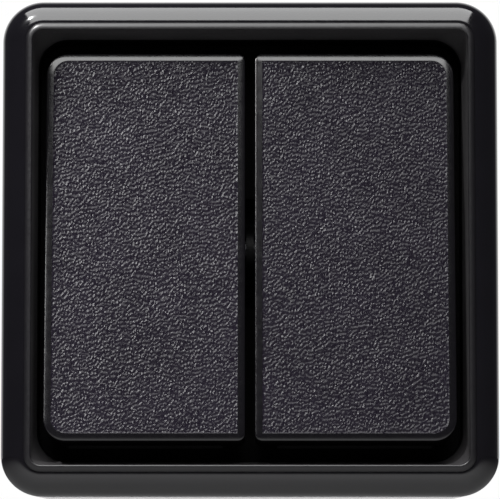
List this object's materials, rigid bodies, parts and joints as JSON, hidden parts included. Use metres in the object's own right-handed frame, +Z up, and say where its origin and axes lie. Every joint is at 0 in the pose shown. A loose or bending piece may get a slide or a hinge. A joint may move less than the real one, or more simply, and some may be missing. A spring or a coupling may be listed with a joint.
{
  "type": "surface mounted light switch",
  "caption": "Square surface mounted rocker light switch in black plastic, with side by side grained rockers in a deep glossy housing and a screw fixed base plate.",
  "frame": {"origin": "middle of the flat back that lies on the wall", "axes": "+Z up the wall, +Y into the wall, the rockers face -Y, +X to the right as seen from the room"},
  "size_m": [0.066, 0.036, 0.066],
  "materials": {
    "gloss_black": "glossy",
    "satin_black": "coarse spark eroded grain",
    "matte_black": "matte",
    "thermoset": "matte",
    "white_plastic": "satin",
    "steel": "zinc plated",
    "brass": "stamped",
    "silver": "silver contact"
  },
  "bodies": {
    "switch_body": {"housing": "gloss_black", "base_plate": "matte_black", "insert_base": "thermoset", "bearing_cover": "matte_black", "pivot_pin": "steel", "common_bar": "brass", "fixed_contact_left": "silver", "output_bar_left": "brass", "fixed_contact_right": "silver", "output_bar_right": "brass", "clamp_line": "steel", "terminal_screw_line": "steel", "clamp_left": "steel", "terminal_screw_left": "steel", "clamp_right": "steel", "terminal_screw_right": "steel", "insert_screw_left": "steel", "insert_screw_right": "steel", "housing_screw_upper": "steel", "housing_screw_lower": "steel"},
    "left_rocker": {"rocker_left": "satin_black", "cradle_left": "white_plastic", "spring_left": "steel"},
    "left_plunger": {"plunger_left": "white_plastic"},
    "left_seesaw": {"seesaw_left": "brass", "moving_contact_left": "silver"},
    "right_rocker": {"rocker_right": "satin_black", "cradle_right": "white_plastic", "spring_right": "steel"},
    "right_plunger": {"plunger_right": "white_plastic"},
    "right_seesaw": {"seesaw_right": "brass", "moving_contact_right": "silver"}
  },
  "joints": [
    {"name": "left_rocker_turn", "type": "hinge", "parent": "switch_body", "child": "left_rocker", "pos_m": [-0.014, -0.0288, 0], "axis": [1, 0, 0], "range_deg": [0, 9]},
    {"name": "left_plunger_slide", "type": "slide", "parent": "left_rocker", "child": "left_plunger", "axis": [0, -0.9969, 0.0785], "range_m": [0, 0.0008], "stiffness_N_per_m": 300, "springref_m": -0.0025, "deforming": ["spring_left"]},
    {"name": "left_seesaw_turn", "type": "hinge", "parent": "switch_body", "child": "left_seesaw", "pos_m": [-0.014, -0.01485, 0], "axis": [1, 0, 0], "range_deg": [-16, 0]},
    {"name": "right_rocker_turn", "type": "hinge", "parent": "switch_body", "child": "right_rocker", "pos_m": [0.014, -0.0288, 0], "axis": [1, 0, 0], "range_deg": [0, 9]},
    {"name": "right_plunger_slide", "type": "slide", "parent": "right_rocker", "child": "right_plunger", "axis": [0, -0.9969, 0.0785], "range_m": [0, 0.0008], "stiffness_N_per_m": 300, "springref_m": -0.0025, "deforming": ["spring_right"]},
    {"name": "right_seesaw_turn", "type": "hinge", "parent": "switch_body", "child": "right_seesaw", "pos_m": [0.014, -0.01485, 0], "axis": [1, 0, 0], "range_deg": [-16, 0]}
  ],
  "couplings": [
    {"joint": "left_seesaw_turn", "follows": "left_rocker_turn", "ratio": -1.7777},
    {"joint": "right_seesaw_turn", "follows": "right_rocker_turn", "ratio": -1.7777}
  ]
}
